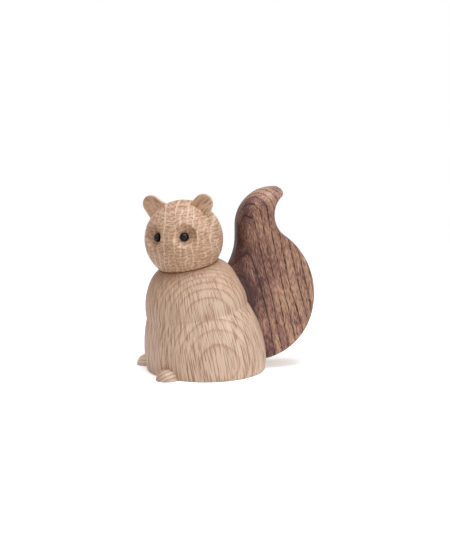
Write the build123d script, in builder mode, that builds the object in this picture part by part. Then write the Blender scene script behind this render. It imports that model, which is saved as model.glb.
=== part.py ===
from build123d import *
import os
from math import asin, atan2, cos, hypot, radians, sin, sqrt, tan

os.makedirs("parts", exist_ok=True)

# A sitting squirrel: a leaning turned body on a flat base, a ball head that turns on a
# neck dowel, split cone ears, split dowel feet, black eye pegs and a sawn tail coped to the back.
# +Z is up, the feet point to -Y and the squirrel's left is +X. The origin is where the
# turning axis of the body meets the flat base. Levels are measured along that axis.

# Fits
glue_gap = 0.05
cope_gap = 0.1
run_gap = 0.05

# Turned body
lean = 10.6
belly_radius = 28.15
belly_level = 7.0
belly_low_curve = 30.5
belly_high_curve = 59.6
blank_level = -9.0
waist_level = 29.1
chest_curve = 28.5
neck_level = 50.6
chest_drop = 20.6
shoulder_drop = 4.6
neck_radius = 13.9
neck_ease = 0.4
base_ease = 0.8

# Ball head
head_radius = 18.15
head_rise = 12.45
head_turn = 51.0
head_cant = 2.8
head_ease = 0.3
neck_shadow_gap = 0.3

# Eye pegs in round dimples
eye_spread = 28.7
eye_lift = 17.4
eye_radius = 2.05
eye_depth = 3.55
eye_shank_radius = 1.0
eye_shank_length = 5.0
dimple_rim_radius = 5.6
dimple_curve = 6.8
dimple_ease = 0.3

# Split cone ears on split tenons
ear_radius = 4.45
ear_flare = 11.5
ear_spread = 38.0
ear_stand = 3.55
ear_front = 1.65
ear_splay = 40.0
ear_ease = 0.4
ear_tenon_radius = 2.5
ear_tenon_root = 9.0

# Split dowel feet, set slightly turned to the left
foot_radius = 5.0
foot_spread = 33.0
foot_turn = 3.0
foot_reach = 2.5
foot_root = 14.5

# Hidden dowels
neck_dowel_radius = 4.0
neck_dowel_in_body = 14.0
neck_dowel_in_head = 12.0
tail_dowel_radius = 3.0
tail_dowel_depth = 9.0
tail_dowel_upper_level = 36.0
tail_dowel_lower_level = 14.0
dowel_ease = 0.5

# Sawn tail, side outline in the middle plane
tail_thickness = 18.0
tail_back_ease = 2.0
tail_front_ease = 8.0
low_back_set = -7.2
low_back_height = 32.4
low_back_curve = 28.0
belly_back_curve = 35.5
belly_back_aim = radians(-14.2)
nape_aim = radians(53.6)
nape_curve = 12.2
tip_curve = 2.0
tip_crossing = radians(20)
crown_set = 2.5
crown_height = 67.2
crown_curve = 17.6
front_low_drop = 5.3
front_low_curve = 26.3

# Directions of the leaning body and of the turned head, whose ears and eyes sit slightly
# canted against its flat seat
tilt = radians(lean)
turn = radians(head_turn)
cant = radians(head_cant)
rise_way = Vector(0, -sin(tilt), cos(tilt))
front_way = Vector(0, -cos(tilt), -sin(tilt))
left_way = Vector(1, 0, 0)
face_way = front_way * cos(turn) + left_way * sin(turn)
level_cheek_way = left_way * cos(turn) - front_way * sin(turn)
cheek_way = level_cheek_way * cos(cant) - rise_way * sin(cant)
crown_way = rise_way * cos(cant) + level_cheek_way * sin(cant)
chest_level = neck_level - chest_drop
shoulder_level = neck_level - shoulder_drop
head_centre = rise_way * (neck_level + head_rise)
turning_axis = Axis((0, 0, 0), rise_way)
neck_plane = Plane(rise_way * neck_level, x_dir=left_way, z_dir=rise_way)


def belly_ring(level, curve):
    return belly_radius - curve + sqrt(curve**2 - (level - belly_level) ** 2)


waist_radius = belly_ring(waist_level, belly_high_curve)


def chest_ring(level):
    start = sqrt(chest_curve**2 - (waist_level - chest_level) ** 2)
    return waist_radius - start + sqrt(chest_curve**2 - (level - chest_level) ** 2)


def body_blank(grow):
    low_mid = (blank_level + belly_level) / 2
    high_mid = (belly_level + waist_level) / 2
    chest_mid = (waist_level + shoulder_level) / 2
    shoulder_slope = asin((shoulder_level - chest_level) / chest_curve)
    top = neck_level + grow
    with BuildPart() as blank:
        with BuildSketch(Plane((0, 0, 0), x_dir=left_way, z_dir=front_way)):
            with BuildLine():
                low = ThreePointArc(
                    (belly_ring(blank_level, belly_low_curve) + grow, blank_level),
                    (belly_ring(low_mid, belly_low_curve) + grow, low_mid),
                    (belly_radius + grow, belly_level),
                )
                high = ThreePointArc(
                    low @ 1,
                    (belly_ring(high_mid, belly_high_curve) + grow, high_mid),
                    (waist_radius + grow, waist_level),
                )
                chest = ThreePointArc(
                    high @ 1,
                    (chest_ring(chest_mid) + grow, chest_mid),
                    (chest_ring(shoulder_level) + grow, shoulder_level),
                )
                shoulder = TangentArc(
                    chest @ 1,
                    (neck_radius + grow, top),
                    tangent=(-sin(shoulder_slope), cos(shoulder_slope)),
                )
                Polyline(shoulder @ 1, (0, top), (0, blank_level), low @ 0)
            make_face()
        revolve(axis=turning_axis)
    return blank.part


def split_peg(place, stock, flare, root, grow):
    seat = place.offset(grow)
    radius = stock + 2 * grow
    slope = radians(flare)
    low = -root - grow
    start = (radius * cos(slope), radius * sin(slope))
    end = (start[0] + (start[1] - low) * tan(slope), low)
    with BuildPart() as half:
        with BuildSketch(seat):
            with BuildLine():
                Polyline((0, radius), (0, low), end, start)
                CenterArc((0, 0), radius, flare, 90 - flare)
            make_face()
        revolve(axis=Axis(seat.origin, seat.y_dir), revolution_arc=180)
    return half.part


def ear_place(side):
    splay = radians(ear_splay) * side
    spread = radians(ear_spread) * side
    way = cheek_way * sin(spread) + crown_way * cos(spread)
    spot = head_centre + face_way * ear_front + way * (head_radius + ear_stand)
    return Plane(spot, x_dir=cheek_way * cos(splay) - crown_way * sin(splay), z_dir=face_way)


def foot_place(side):
    aim = radians(foot_turn + foot_spread * side)
    reach = belly_ring(0, belly_low_curve) + foot_reach
    return Plane(
        (reach * sin(aim), -reach * cos(aim), 0),
        x_dir=(cos(aim), sin(aim), 0),
        z_dir=(0, 0, -1),
    )


def eye_place(side, reach):
    lift = radians(eye_lift)
    spread = radians(eye_spread) * side
    way = (face_way * cos(spread) + cheek_way * sin(spread)) * cos(lift) + crown_way * sin(lift)
    return Plane(head_centre + way * reach, x_dir=crown_way.cross(way), z_dir=way)


def tail_dowel_place(level, reach):
    return Plane(rise_way * level - front_way * reach, x_dir=left_way, z_dir=front_way * -1)


tail_dowel_places = (
    tail_dowel_place(tail_dowel_upper_level, chest_ring(tail_dowel_upper_level)),
    tail_dowel_place(tail_dowel_lower_level, belly_ring(tail_dowel_lower_level, belly_high_curve)),
)
eye_reach = head_radius - eye_depth
dimple_reach = sqrt(head_radius**2 - dimple_rim_radius**2) + sqrt(dimple_curve**2 - dimple_rim_radius**2)
sides = (1, -1)

# Body: turned blank, cut flat underneath, with sockets for the feet and dowels
with BuildPart() as body:
    add(body_blank(0))
    split(bisect_by=Plane.XY, keep=Keep.TOP)
    fillet(faces().sort_by(Axis.Z)[0].edges(), radius=base_ease)
    fillet(faces().filter_by(GeomType.PLANE).sort_by(Axis.Z)[-1].edges(), radius=neck_ease)
    for side in sides:
        add(split_peg(foot_place(side), foot_radius, 0, foot_root, glue_gap), mode=Mode.SUBTRACT)
    with Locations(neck_plane):
        Cylinder(neck_dowel_radius + glue_gap, 2 * neck_dowel_in_body, mode=Mode.SUBTRACT)
    with Locations(*tail_dowel_places):
        Cylinder(tail_dowel_radius + glue_gap, 2 * tail_dowel_depth, mode=Mode.SUBTRACT)
body.part.label = "body"
export_step(body.part, "parts/body.step")

# Head: ball with a flat seat, eye dimples and sockets for the ears, eye pegs and neck dowel
with BuildPart() as head:
    with Locations(Plane(head_centre, x_dir=face_way, z_dir=rise_way)):
        Sphere(head_radius)
    split(bisect_by=neck_plane.offset(neck_shadow_gap), keep=Keep.TOP)
    fillet(faces().filter_by(GeomType.PLANE).edges(), radius=head_ease)
    for side in sides:
        with Locations(eye_place(side, dimple_reach)):
            Sphere(dimple_curve, mode=Mode.SUBTRACT)
        fillet(edges(Select.LAST), radius=dimple_ease)
    for side in sides:
        with Locations(eye_place(side, eye_reach)):
            Sphere(eye_radius + glue_gap, mode=Mode.SUBTRACT)
            Cylinder(
                eye_shank_radius + glue_gap,
                eye_shank_length + glue_gap,
                align=(Align.CENTER, Align.CENTER, Align.MAX),
                mode=Mode.SUBTRACT,
            )
        socket = split_peg(ear_place(side), ear_tenon_radius, 0, ear_tenon_root, glue_gap)
        add(socket, mode=Mode.SUBTRACT)
    with Locations(neck_plane):
        Cylinder(neck_dowel_radius + run_gap, 2 * neck_dowel_in_head, mode=Mode.SUBTRACT)
head.part.label = "head"
export_step(head.part, "parts/head.step")

# Ears coped to the head, feet and eye pegs, in left and right pairs
for side, name in zip(sides, ("left", "right")):
    with BuildPart() as ear:
        add(split_peg(ear_place(side), ear_radius, ear_flare, ear_tenon_root, 0))
        flat = faces().filter_by(GeomType.PLANE).sort_by(SortBy.AREA)[-1]
        fillet(flat.edges(), radius=ear_ease)
        with Locations(Plane(head_centre)):
            Sphere(head_radius + glue_gap, mode=Mode.SUBTRACT)
        add(split_peg(ear_place(side), ear_tenon_radius, 0, ear_tenon_root, 0))
    ear.part.label = name + "_ear"
    export_step(ear.part, "parts/" + name + "_ear.step")

    with BuildPart() as foot:
        add(split_peg(foot_place(side), foot_radius, 0, foot_root, 0))
    foot.part.label = name + "_foot"
    export_step(foot.part, "parts/" + name + "_foot.step")

    with BuildPart() as eye:
        with Locations(eye_place(side, eye_reach)):
            Sphere(eye_radius)
            Cylinder(
                eye_shank_radius,
                eye_shank_length,
                align=(Align.CENTER, Align.CENTER, Align.MAX),
            )
    eye.part.label = name + "_eye"
    export_step(eye.part, "parts/" + name + "_eye.step")

# Dowels: one the head turns on, two that hold the tail
with BuildPart() as neck_dowel:
    with BuildSketch(neck_plane.offset(-neck_dowel_in_body)):
        Circle(neck_dowel_radius)
    extrude(amount=neck_dowel_in_body + neck_dowel_in_head)
    chamfer(edges().filter_by(GeomType.CIRCLE), length=dowel_ease)
neck_dowel.part.label = "neck_dowel"
export_step(neck_dowel.part, "parts/neck_dowel.step")

for place, name in zip(tail_dowel_places, ("upper", "lower")):
    with BuildPart() as tail_dowel:
        with BuildSketch(place.offset(-tail_dowel_depth)):
            Circle(tail_dowel_radius)
        extrude(amount=2 * tail_dowel_depth)
        chamfer(edges().filter_by(GeomType.CIRCLE), length=dowel_ease)
    tail_dowel.part.label = "tail_dowel_" + name
    export_step(tail_dowel.part, "parts/tail_dowel_" + name + ".step")


def from_point(centre, reach, angle):
    return (centre[0] + reach * cos(angle), centre[1] + reach * sin(angle))


# Back outline of the tail, arc by arc from the bottom to the curled tip, set off from the belly
low_back_centre = (belly_radius + low_back_set, low_back_height)
crown_centre = (belly_radius + crown_set, crown_height)
back_shift = belly_back_curve - low_back_curve
belly_back_centre = from_point(low_back_centre, -back_shift, belly_back_aim)
nape_centre = from_point(belly_back_centre, belly_back_curve + nape_curve, nape_aim)
low_back_start = from_point(low_back_centre, low_back_curve, radians(-90))
belly_start = from_point(low_back_centre, low_back_curve, belly_back_aim)
nape_start = from_point(belly_back_centre, belly_back_curve, nape_aim)

# The tip arc touches the nape arc from outside and crosses the crown arc at a slant
crown_reach = sqrt(crown_curve**2 + tip_curve**2 - 2 * crown_curve * tip_curve * cos(tip_crossing))
nape_reach = nape_curve + tip_curve
span_y = nape_centre[0] - crown_centre[0]
span_z = nape_centre[1] - crown_centre[1]
span = hypot(span_y, span_z)
along = (crown_reach**2 - nape_reach**2 + span**2) / (2 * span)
across = sqrt(crown_reach**2 - along**2)
tip_centre = (
    crown_centre[0] + (along * span_y - across * span_z) / span,
    crown_centre[1] + (along * span_z + across * span_y) / span,
)
tip_start_aim = atan2(nape_centre[1] - tip_centre[1], nape_centre[0] - tip_centre[0])
tip_end_aim = radians(90) - tip_crossing
tip_start = from_point(tip_centre, tip_curve, tip_start_aim)
tip_end = from_point(tip_centre, tip_curve, tip_end_aim)
run_off = from_point(tip_end, crown_curve, tip_end_aim + radians(90))
inner_reach = 0.0
outer_reach = crown_centre[0] + 2 * crown_curve

with BuildPart() as tail_back:
    with BuildSketch(Plane.YZ):
        with BuildLine():
            low_back_mid = from_point(low_back_centre, low_back_curve, radians(-50))
            ThreePointArc(low_back_start, low_back_mid, belly_start)
            belly_mid_aim = (nape_aim + belly_back_aim) / 2
            belly_mid = from_point(belly_back_centre, belly_back_curve, belly_mid_aim)
            ThreePointArc(belly_start, belly_mid, nape_start)
            ThreePointArc(nape_start, from_point(nape_centre, nape_curve, radians(180)), tip_start)
            tip_mid_aim = (tip_start_aim + tip_end_aim) / 2
            ThreePointArc(tip_start, from_point(tip_centre, tip_curve, tip_mid_aim), tip_end)
            Polyline(
                tip_end,
                run_off,
                (inner_reach, run_off[1]),
                (inner_reach, low_back_start[1]),
                low_back_start,
            )
        make_face()
    extrude(amount=tail_thickness / 2, both=True)
    fillet(edges().filter_by(GeomType.CIRCLE), radius=tail_back_ease)

# Front outline of the tail: hollow above the shoulder, then straight, then the crown
crown_front = crown_centre[0] - crown_curve
front_low_top = crown_centre[1] - front_low_drop
front_low_centre = (crown_front - front_low_curve, front_low_top)
front_low_end = from_point(front_low_centre, front_low_curve, radians(-60))

# Tail: what the eased back and the rounded front have in common, coped to the body
with BuildPart() as tail:
    with BuildSketch(Plane.YZ):
        with BuildLine():
            front_low_mid = from_point(front_low_centre, front_low_curve, radians(-30))
            ThreePointArc(front_low_end, front_low_mid, (crown_front, front_low_top))
            Line((crown_front, front_low_top), (crown_front, crown_centre[1]))
            crown = ThreePointArc(
                (crown_front, crown_centre[1]),
                (crown_centre[0], crown_centre[1] + crown_curve),
                (crown_centre[0] + crown_curve, crown_centre[1]),
            )
            Polyline(
                crown @ 1,
                (outer_reach, crown_centre[1]),
                (outer_reach, 0),
                (front_low_end[0], 0),
                front_low_end,
            )
        make_face()
    extrude(amount=tail_thickness / 2, both=True)
    rounded = edges().filter_by(GeomType.CIRCLE)
    rounded += edges().filter_by(Axis.Z).group_by(Axis.Y)[1]
    fillet(rounded, radius=tail_front_ease)
    add(tail_back.part, mode=Mode.INTERSECT)
    add(body_blank(cope_gap), mode=Mode.SUBTRACT)
    with Locations(*tail_dowel_places):
        Cylinder(tail_dowel_radius + glue_gap, 2 * tail_dowel_depth, mode=Mode.SUBTRACT)
tail.part.label = "tail"
export_step(tail.part, "parts/tail.step")
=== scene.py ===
import math

import bmesh
import bpy
from mathutils import Matrix, Vector

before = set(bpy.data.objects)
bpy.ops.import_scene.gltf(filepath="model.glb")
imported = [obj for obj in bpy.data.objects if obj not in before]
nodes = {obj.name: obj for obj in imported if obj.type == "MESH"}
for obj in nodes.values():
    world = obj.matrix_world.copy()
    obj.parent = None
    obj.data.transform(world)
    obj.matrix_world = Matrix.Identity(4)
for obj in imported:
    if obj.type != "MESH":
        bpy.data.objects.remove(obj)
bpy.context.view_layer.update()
scene = bpy.context.scene
print("frame loaded with", len(nodes), "nodes")


def linear(hexColour):
    # sRGB hex to linear RGBA
    parts = [int(hexColour[i:i + 2], 16) / 255 for i in (1, 3, 5)]
    return [c / 12.92 if c <= 0.04045 else ((c + 0.055) / 1.055) ** 2.4 for c in parts] + [1.0]


def put(tree, kind, links=None, **settings):
    # one node with its settings, then its inputs as values or links
    node = tree.nodes.new(kind)
    for key, value in settings.items():
        setattr(node, key, value)
    for socket, value in (links or {}).items():
        if isinstance(value, bpy.types.NodeSocket):
            tree.links.new(value, node.inputs[socket])
        else:
            node.inputs[socket].default_value = value
    return node


def heading(azimuth, elevation=0.0):
    # unit vector towards a point of the compass, 0 is the squirrel's front, 90 its left
    a = math.radians(azimuth)
    e = math.radians(elevation)
    return Vector((math.sin(a) * math.cos(e), -math.cos(a) * math.cos(e), math.sin(e)))


def grainTurn(grain, across):
    # rotation of a board whose fibres run along grain and whose x axis lies nearest to across
    z = Vector(grain).normalized()
    x = Vector(across)
    x = (x - z * x.dot(z)).normalized()
    return Matrix((x, z.cross(x), z)).transposed().to_euler()


# what all the wood here shares
woodFinish = {
    "ior": 1.5, "specular": 0.25,  # oiled, not lacquered, so only a dull sheen
    "roughSwing": 0.05, "roughSpan": (0.3, 0.7),  # fibres vary the roughness over this span of their noise
    "fibreRise": 0.25,  # fibres stand proud by this share of a pore's depth
    "poreDepth": 0.00015,  # metres
    "wanderDetail": 3.0,
    "detail": {"fibre": 2.0, "blotch": 2.0, "pore": 1.0, "rayBreak": 1.0},
    "earlyMean": 0.4, "noiseMean": 0.5,  # usual levels, which land on the middle colour
}


def oak(name, spec):
    # Oak as a solid: rings round a heart, open pores, fibres and pale rays, cut by whatever surface the
    # piece has. Sizes are in mm. Pores are 0.2 to 0.4 mm wide in real oak and a pixel of the render is
    # about 0.5 mm, so most are drawn coarser, to show.
    mat = bpy.data.materials.new(name)
    mat.use_nodes = True
    tree = mat.node_tree
    tree.nodes.clear()
    place = put(tree, "ShaderNodeTexCoord").outputs["Object"]
    board = put(tree, "ShaderNodeMapping", {
        "Vector": place,
        "Location": [v / 1000 for v in spec["heart"]],
        "Rotation": grainTurn(spec["grain"], spec["across"]),
        "Scale": (0.001, 0.001, 0.001),  # metres to mm
    }, vector_type="TEXTURE").outputs[0]

    # slow wander of the rings, drawn out along the fibres
    slow = put(tree, "ShaderNodeVectorMath", {0: board, 1: [1 / v for v in spec["wanderSize"]]},
               operation="MULTIPLY").outputs[0]
    drift = put(tree, "ShaderNodeTexNoise", {
        "Vector": slow, "Scale": 1.0, "Detail": woodFinish["wanderDetail"],
    }).outputs["Color"]
    drift = put(tree, "ShaderNodeVectorMath", {0: drift, 1: [woodFinish["noiseMean"]] * 3},
                operation="SUBTRACT").outputs[0]
    drift = put(tree, "ShaderNodeVectorMath", {0: drift, 1: [2 * spec["wander"]] * 3},
                operation="MULTIPLY").outputs[0]
    wavy = put(tree, "ShaderNodeVectorMath", {0: board, 1: drift}, operation="ADD").outputs[0]

    # ring phase from 0 at the start of a year's growth to 1 at its end
    flat = put(tree, "ShaderNodeVectorMath", {0: wavy, 1: (1, 1, 0)}, operation="MULTIPLY").outputs[0]
    reach = put(tree, "ShaderNodeVectorMath", {0: flat}, operation="LENGTH").outputs["Value"]
    years = put(tree, "ShaderNodeMath", {0: reach, 1: spec["ringWidth"]}, operation="DIVIDE").outputs[0]
    phase = put(tree, "ShaderNodeMath", {0: years}, operation="FRACT").outputs[0]
    rings = put(tree, "ShaderNodeValToRGB", {"Fac": phase})
    ramp = rings.color_ramp
    ramp.interpolation = "B_SPLINE"
    first, *between, last = spec["ringRamp"]
    ramp.elements[0].color = [first[1]] * 3 + [1]
    ramp.elements[1].color = [last[1]] * 3 + [1]
    for spot, level in between:
        ramp.elements.new(spot).color = [level] * 3 + [1]
    early = rings.outputs["Color"]

    # where a piece has rows, its streaks turn round a line: x round it, y from the heart, z along the fibres
    rows = board
    if "rowReach" in spec:
        core = put(tree, "ShaderNodeVectorMath", {0: board, 1: spec["rowCentre"]},
                   operation="SUBTRACT").outputs[0]
        split = put(tree, "ShaderNodeSeparateXYZ", {"Vector": core})
        around = put(tree, "ShaderNodeMath", {0: split.outputs["Y"], 1: split.outputs["X"]},
                     operation="ARCTAN2").outputs[0]
        around = put(tree, "ShaderNodeMath", {0: around, 1: spec["rowReach"]},
                     operation="MULTIPLY").outputs[0]
        rows = put(tree, "ShaderNodeCombineXYZ", {
            "X": around, "Y": reach, "Z": split.outputs["Z"],
        }).outputs[0]

    # fibres, blotches, pores and the breaks in rays are noise stretched along the fibres
    noise = {}
    for key, detail in woodFinish["detail"].items():
        if key + "Size" in spec:
            drawn = put(tree, "ShaderNodeVectorMath", {0: rows, 1: [1 / v for v in spec[key + "Size"]]},
                        operation="MULTIPLY").outputs[0]
            noise[key] = put(tree, "ShaderNodeTexNoise", {
                "Vector": drawn, "Scale": 1.0, "Detail": detail,
            }).outputs["Fac"]

    # pores crowd into the early wood of each ring
    crowd = put(tree, "ShaderNodeMath", {0: early, 1: spec["poreInRings"], 2: noise["pore"]},
                operation="MULTIPLY_ADD").outputs[0]
    pore = put(tree, "ShaderNodeMapRange", {
        "Value": crowd, "From Min": spec["poreFrom"], "From Max": spec["poreFrom"] + spec["poreSoft"],
    }, interpolation_type="SMOOTHSTEP").outputs["Result"]

    # colour: rings, fibres and blotches added up, then rays, then pores
    tone = 0.0
    middle = 0.0
    for source, key, mean in (
        (early, "ringTone", woodFinish["earlyMean"]),
        (noise["fibre"], "fibreTone", woodFinish["noiseMean"]),
        (noise["blotch"], "blotchTone", woodFinish["noiseMean"]),
    ):
        tone = put(tree, "ShaderNodeMath", {0: source, 1: spec[key], 2: tone},
                   operation="MULTIPLY_ADD").outputs[0]
        middle += spec[key] * mean
    if "shadeWay" in spec:
        # darker along shadeWay, from the first distance to the second; on the body this is painted shade
        # under the head
        along = put(tree, "ShaderNodeVectorMath", {0: place, 1: Vector(spec["shadeWay"]) * 1000},
                    operation="DOT_PRODUCT").outputs["Value"]
        dusk = put(tree, "ShaderNodeMapRange", {
            "Value": along, "From Min": spec["shadeSpan"][0], "From Max": spec["shadeSpan"][1],
            "To Max": spec["shadeTone"],
        }, interpolation_type="SMOOTHSTEP").outputs["Result"]
        tone = put(tree, "ShaderNodeMath", {0: tone, 1: dusk}, operation="ADD").outputs[0]
    tone = put(tree, "ShaderNodeMapRange", {
        "Value": tone, "From Min": middle - spec["toneSpan"] / 2, "From Max": middle + spec["toneSpan"] / 2,
    }).outputs["Result"]
    shades = put(tree, "ShaderNodeValToRGB", {"Fac": tone})
    ramp = shades.color_ramp
    ramp.elements[0].color = linear(spec["pale"])
    ramp.elements[1].color = linear(spec["deep"])
    ramp.elements.new(0.5).color = linear(spec["mid"])
    colour = shades.outputs["Color"]
    if "rayGap" in spec:
        # rays: thin pale sheets, rayGap apart along the board's x axis and broken by a noise
        split = put(tree, "ShaderNodeSeparateXYZ", {"Vector": wavy})
        wave = put(tree, "ShaderNodeMath", {0: split.outputs["X"], 1: spec["rayGap"]},
                   operation="DIVIDE").outputs[0]
        wave = put(tree, "ShaderNodeMath", {0: wave}, operation="FRACT").outputs[0]
        wave = put(tree, "ShaderNodeMath", {0: wave, 1: 0.5}, operation="SUBTRACT").outputs[0]
        wave = put(tree, "ShaderNodeMath", {0: wave}, operation="ABSOLUTE").outputs[0]
        half = spec["rayWidth"] / spec["rayGap"] / 2
        ray = put(tree, "ShaderNodeMapRange", {
            "Value": wave, "From Min": half, "From Max": half * spec["rayCore"], "To Max": spec["rayTone"],
        }, interpolation_type="SMOOTHSTEP").outputs["Result"]
        whole = put(tree, "ShaderNodeMapRange", {
            "Value": noise["rayBreak"], "From Min": spec["rayFade"][0], "From Max": spec["rayFade"][1],
        }).outputs["Result"]
        ray = put(tree, "ShaderNodeMath", {0: ray, 1: whole}, operation="MULTIPLY").outputs[0]
        pore = put(tree, "ShaderNodeMath", {0: pore, 1: ray}, operation="SUBTRACT", use_clamp=True).outputs[0]
        colour = put(tree, "ShaderNodeMix", {
            "Factor": ray, "A": colour, "B": linear(spec["rayColour"]),
        }, data_type="RGBA").outputs[2]
    stain = put(tree, "ShaderNodeMath", {0: pore, 1: spec["poreTone"]}, operation="MULTIPLY").outputs[0]
    colour = put(tree, "ShaderNodeMix", {
        "Factor": stain, "A": colour, "B": linear(spec["pore"]),
    }, data_type="RGBA").outputs[2]

    # pores are open, fibres stand a little proud
    height = put(tree, "ShaderNodeMath", {0: noise["fibre"], 1: woodFinish["fibreRise"]},
                 operation="MULTIPLY").outputs[0]
    height = put(tree, "ShaderNodeMath", {0: height, 1: pore}, operation="SUBTRACT").outputs[0]
    bump = put(tree, "ShaderNodeBump", {
        "Height": height, "Strength": spec["bump"], "Distance": woodFinish["poreDepth"],
    }).outputs["Normal"]
    rough = put(tree, "ShaderNodeMapRange", {
        "Value": noise["fibre"],
        "From Min": woodFinish["roughSpan"][0], "From Max": woodFinish["roughSpan"][1],
        "To Min": spec["rough"] - woodFinish["roughSwing"],
        "To Max": spec["rough"] + woodFinish["roughSwing"],
    }).outputs["Result"]
    shader = put(tree, "ShaderNodeBsdfPrincipled", {
        "Base Color": colour, "Roughness": rough, "Normal": bump,
        "IOR": woodFinish["ior"], "Specular IOR Level": woodFinish["specular"],
    })
    put(tree, "ShaderNodeOutputMaterial", {"Surface": shader.outputs[0]})
    return mat


def dress(node, mat):
    # one material on a CAD node
    piece = nodes[node]
    piece.data.materials.clear()
    piece.data.materials.append(mat)


# Body: pale oak turned on a lathe and oiled, which gives a dull sheen, fine upright pore lines and rings
# that arch on both sides. The rings' heart lies beyond its right side, the pore rows turn round its axis.
bodyLean = math.radians(10.6)
bodyOak = {
    "heart": (-40, -6, 33), "grain": (0, -math.sin(bodyLean), math.cos(bodyLean)), "across": heading(90),
    "wanderSize": (18, 18, 120), "wander": 0.5,
    "ringWidth": 1.6, "ringTone": 0.5,
    "ringRamp": [(0, 0.9), (0.08, 0.8), (0.2, 0.2), (0.5, 0.05), (0.92, 0.05), (1, 0.8)],
    "rowCentre": (40, 0, 0), "rowReach": 26,
    "fibreSize": (0.45, 6, 40), "fibreTone": 0.8,
    "blotchSize": (9, 9, 60), "blotchTone": 0.3, "toneSpan": 0.85,
    "poreSize": (0.3, 2.4, 13), "poreInRings": 0.04, "poreFrom": 0.545, "poreSoft": 0.045, "poreTone": 0.8,
    # painted shade: the body darkens towards its top, where the head shades the chest and shoulders
    "shadeWay": (-0.25, 0, 0.97), "shadeSpan": (24, 46), "shadeTone": 0.3,
    "pale": "#dec6ab", "mid": "#d1b397", "deep": "#b99376", "pore": "#946a4f",
    "bump": 0.3, "rough": 0.5,
}
dress("body", oak("pale_oak_turned", bodyOak))
print("body in turned oak")

# Head: the same oak turned across its fibres, so the face shows end grain: short rows of dark pores between
# pale rays that run up and down
headOak = {
    "heart": (10, -30, 150), "grain": heading(68), "across": heading(158),
    "wanderSize": (6, 6, 40), "wander": 2.2,
    "ringWidth": 1.7, "ringTone": 0.4,
    "ringRamp": [(0, 0.9), (0.25, 0.7), (0.5, 0.2), (0.85, 0.15), (1, 0.8)],
    "fibreSize": (1.6, 0.6, 14), "fibreTone": 0.7,
    "blotchSize": (8, 8, 22), "blotchTone": 0.5, "toneSpan": 0.8,
    "poreSize": (1.25, 0.42, 6), "poreInRings": 0.06, "poreFrom": 0.54, "poreSoft": 0.09, "poreTone": 0.55,
    "rayGap": 2.6, "rayWidth": 0.85, "rayCore": 0.2, "rayTone": 0.85,  # the core is a ray's part at full tone
    "rayBreakSize": (2.5, 8, 12), "rayFade": (0.33, 0.55), "rayColour": "#e0c6a4",
    "pale": "#e0c8ae", "mid": "#caa586", "deep": "#ae8463", "pore": "#85583f",
    "bump": 0.3, "rough": 0.5,
}
dress("head", oak("pale_oak_turned_end_grain", headOak))
print("head in end-grain oak")

# Ears: oak cones split along their fibres, which gives soft streaks along each ear
earOak = {
    "heart": (-25, 12, 60), "across": heading(51),
    "wanderSize": (10, 10, 60), "wander": 0.8,
    "ringWidth": 2.4, "ringTone": 0.5,
    "ringRamp": [(0, 0.9), (0.2, 0.7), (0.45, 0.2), (0.85, 0.15), (1, 0.8)],
    "fibreSize": (0.8, 0.8, 14), "fibreTone": 0.7,
    "blotchSize": (5, 5, 14), "blotchTone": 0.5, "toneSpan": 0.8,
    "poreSize": (0.5, 0.5, 11), "poreInRings": 0.06, "poreFrom": 0.565, "poreSoft": 0.1, "poreTone": 0.7,
    "pale": "#e6c7a8", "mid": "#dab898", "deep": "#c09a7b", "pore": "#85614b",
    "bump": 0.3, "rough": 0.52,
}
earGrain = {"left": heading(140, 45), "right": heading(-40, 45)}
for side, grain in earGrain.items():
    dress(side + "_ear", oak(side + "_ear_split_oak", dict(earOak, grain=grain)))
print("ears in split oak")

# Feet: a split oak dowel, whose narrow rings show as stripes; the two feet are painted light and shade copies
# of it
footOak = dict(
    earOak, heart=(17, 0, -14), across=heading(90),
    ringWidth=1.8, ringTone=1.1, poreFrom=0.64, pore="#876449",
)
footPaintedShading = {
    # painted shade: the left foot, on the near side, gets darker colours
    "left": {"grain": heading(36), "pale": "#d6bba0", "mid": "#bd9f84", "deep": "#b08f74"},
    # painted light: the right foot, in shade beyond the body, gets paler colours
    "right": {"grain": heading(-30), "pale": "#f2dcc4", "mid": "#e8d0b6", "deep": "#d6b99e"},
}
for side, look in footPaintedShading.items():
    dress(side + "_foot", oak(side + "_foot_split_oak_painted_shading", dict(footOak, **look)))
print("feet in split oak dowel")

# Tail: an oak plank sawn, rounded over and fumed dark, which gives mottled brown with a row of near-black
# pores to each ring, and arcs where the round front cuts the rings. Darker towards the body.
tailLean = math.radians(13)
tailOak = {
    "heart": (39, -2, 40), "grain": (0, -math.sin(tailLean), math.cos(tailLean)), "across": heading(75),
    "wanderSize": (12, 12, 50), "wander": 2.0,
    "ringWidth": 2.7, "ringTone": 0.45,
    "ringRamp": [(0, 0.9), (0.08, 1), (0.17, 0.12), (0.5, 0), (0.95, 0.1), (1, 0.8)],
    "rowCentre": (0, 0, 0), "rowReach": 45,
    "fibreSize": (0.5, 0.4, 2.4), "fibreTone": 2.2,
    "blotchSize": (6, 6, 15), "blotchTone": 1.5, "toneSpan": 1.1,
    "poreSize": (12, 0.45, 2.6), "poreInRings": 0.36, "poreFrom": 0.775, "poreSoft": 0.05, "poreTone": 0.95,
    "shadeWay": (0, 1, 0.15), "shadeSpan": (40, 19), "shadeTone": 0.7,
    "pale": "#c39b7b", "mid": "#8f6756", "deep": "#4f332d", "pore": "#382622",
    "bump": 0.4, "rough": 0.48,
}
dress("tail", oak("smoked_oak_sawn", tailOak))
print("tail in smoked oak")

# Dowels: turned beech, plain and even. They are hidden, so they take the body's pattern with faint pores.
dowelBeech = dict(bodyOak, pale="#d9b894", mid="#cca983", deep="#bb9670", poreTone=0.3)
dowelMat = oak("beech_dowel_turned", dowelBeech)
for name in ("neck_dowel", "tail_dowel_upper", "tail_dowel_lower"):
    dress(name, dowelMat)
print("dowels in beech")

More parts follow.
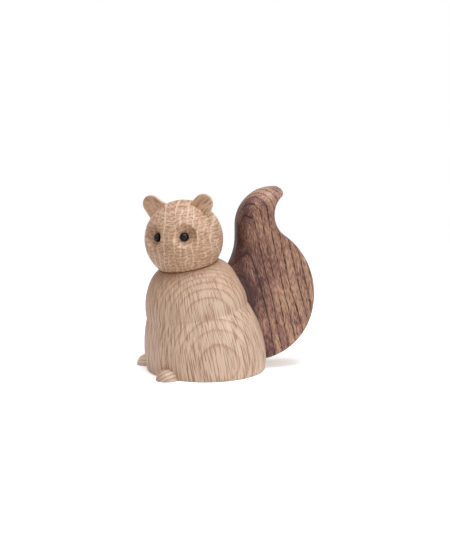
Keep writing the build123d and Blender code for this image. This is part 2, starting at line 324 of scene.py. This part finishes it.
# Eyes: black acrylic, moulded and polished, which gives a clean small highlight on near-black
beadSpec = {
    "colour": "#0d0a0a", "rough": (0.02, 0.06), "ior": 1.49, "specular": 0.25,
    "haze": 900.0,  # faint unevenness of the polish, about 1 mm across
}
beadMat = bpy.data.materials.new("black_acrylic_moulded")
beadMat.use_nodes = True
beadTree = beadMat.node_tree
beadTree.nodes.clear()
beadNoise = put(beadTree, "ShaderNodeTexNoise", {
    "Vector": put(beadTree, "ShaderNodeTexCoord").outputs["Object"], "Scale": beadSpec["haze"],
})
beadRough = put(beadTree, "ShaderNodeMapRange", {
    "Value": beadNoise.outputs["Fac"], "To Min": beadSpec["rough"][0], "To Max": beadSpec["rough"][1],
}).outputs["Result"]
beadShader = put(beadTree, "ShaderNodeBsdfPrincipled", {
    "Base Color": linear(beadSpec["colour"]), "Roughness": beadRough,
    "IOR": beadSpec["ior"], "Specular IOR Level": beadSpec["specular"],
})
put(beadTree, "ShaderNodeOutputMaterial", {"Surface": beadShader.outputs[0]})
for side in ("left", "right"):
    dress(side + "_eye", beadMat)
print("eyes in black acrylic")


def seenRays(tree):
    # 1 where the backdrop is looked at, straight, in a gloss or through glass, 0 where it lights
    path = put(tree, "ShaderNodeLightPath").outputs
    seen = path["Is Camera Ray"]
    for ray in ("Is Glossy Ray", "Is Transmission Ray"):
        seen = put(tree, "ShaderNodeMath", {0: seen, 1: path[ray]}, operation="MAXIMUM").outputs[0]
    return seen


# Floor: matt white paper, which only takes the soft shadow. The glow lifts it to white where it is looked
# at, and it fades out into the white world.
floorSpec = {"size": 1.2, "colour": "#fafafa", "glow": 0.4, "fade": (0.12, 0.4)}
floorMesh = bpy.data.meshes.new("floor")
floorShape = bmesh.new()
bmesh.ops.create_grid(floorShape, x_segments=1, y_segments=1, size=floorSpec["size"] / 2)
floorShape.to_mesh(floorMesh)
floorShape.free()
floor = bpy.data.objects.new("floor", floorMesh)
scene.collection.objects.link(floor)
floorMat = bpy.data.materials.new("white_paper_matt")
floorMat.use_nodes = True
floorTree = floorMat.node_tree
floorTree.nodes.clear()
floorLit = put(floorTree, "ShaderNodeBsdfDiffuse", {"Color": linear(floorSpec["colour"])}).outputs[0]
floorGlow = put(floorTree, "ShaderNodeEmission", {"Strength": floorSpec["glow"]}).outputs[0]
floorSum = put(floorTree, "ShaderNodeAddShader", {0: floorLit, 1: floorGlow}).outputs[0]
floorLook = put(floorTree, "ShaderNodeMixShader", {
    0: seenRays(floorTree), 1: floorLit, 2: floorSum,
}).outputs[0]
floorPlace = put(floorTree, "ShaderNodeTexCoord").outputs["Object"]
floorReach = put(floorTree, "ShaderNodeVectorMath", {0: floorPlace}, operation="LENGTH").outputs["Value"]
floorFade = put(floorTree, "ShaderNodeMapRange", {
    "Value": floorReach, "From Min": floorSpec["fade"][0], "From Max": floorSpec["fade"][1],
}, interpolation_type="SMOOTHSTEP").outputs["Result"]
floorClear = put(floorTree, "ShaderNodeBsdfTransparent").outputs[0]
floorEnd = put(floorTree, "ShaderNodeMixShader", {0: floorFade, 1: floorLook, 2: floorClear}).outputs[0]
put(floorTree, "ShaderNodeOutputMaterial", {"Surface": floorEnd})
floorMesh.materials.append(floorMat)
print("floor laid")

# Camera: long lens, a little above the squirrel and a little to the front of its left side
viewSpec = {
    "azimuth": 75.5, "elevation": 11.3, "distance": 1.0, "lens": 172.0, "sensor": 36,
    "aim": (0, 0.008, 0.042), "rise": 0.0043,
}
back = heading(viewSpec["azimuth"], viewSpec["elevation"])
turn = back.to_track_quat("Z", "Y")
camera = bpy.data.objects.new("camera", bpy.data.cameras.new("camera"))
scene.collection.objects.link(camera)
camera.data.sensor_fit = "HORIZONTAL"
camera.data.sensor_width = viewSpec["sensor"]
camera.data.lens = viewSpec["lens"]
camera.rotation_euler = turn.to_euler()
lift = turn @ Vector((0, viewSpec["rise"], 0))
camera.location = Vector(viewSpec["aim"]) + lift + back * viewSpec["distance"]
scene.camera = camera
print("camera set")

# Lamps: square softboxes aimed at the squirrel's middle, way is azimuth and elevation in degrees
lampAim = Vector((0, 0, 0.04))
lampSpecs = {
    "key": {"way": (118, 30), "distance": 0.9, "side": 0.6, "watts": 3.3, "colour": "#ecf5ff"},
    "top": {"way": (102, 80), "distance": 0.9, "side": 0.55, "watts": 8.4, "colour": "#dfeaff"},
    "edge": {"way": (-30, 18), "distance": 1.0, "side": 0.5, "watts": 0.2, "colour": "#ffffff"},
}
for name, spec in lampSpecs.items():
    lamp = bpy.data.lights.new(name, "AREA")
    lamp.shape = "SQUARE"
    lamp.size = spec["side"]
    lamp.energy = spec["watts"]
    lamp.color = linear(spec["colour"])[:3]
    way = heading(*spec["way"])
    stand = bpy.data.objects.new(name, lamp)
    scene.collection.objects.link(stand)
    stand.location = lampAim + way * spec["distance"]
    stand.rotation_euler = way.to_track_quat("Z", "Y").to_euler()

# World: a warm fill light that looks plain white
worldSpec = {"fill": "#ffe3c5", "fillStrength": 0.3, "seen": "#ffffff", "seenStrength": 1.0}
world = scene.world or bpy.data.worlds.new("world")
scene.world = world
world.use_nodes = True
worldTree = world.node_tree
worldTree.nodes.clear()
fill = put(worldTree, "ShaderNodeBackground", {
    "Color": linear(worldSpec["fill"]), "Strength": worldSpec["fillStrength"],
}).outputs[0]
plain = put(worldTree, "ShaderNodeBackground", {
    "Color": linear(worldSpec["seen"]), "Strength": worldSpec["seenStrength"],
}).outputs[0]
worldLook = put(worldTree, "ShaderNodeMixShader", {0: seenRays(worldTree), 1: fill, 2: plain}).outputs[0]
put(worldTree, "ShaderNodeOutputWorld", {"Surface": worldLook})
scene.view_settings.view_transform = "Standard"
print("lamps and world set")
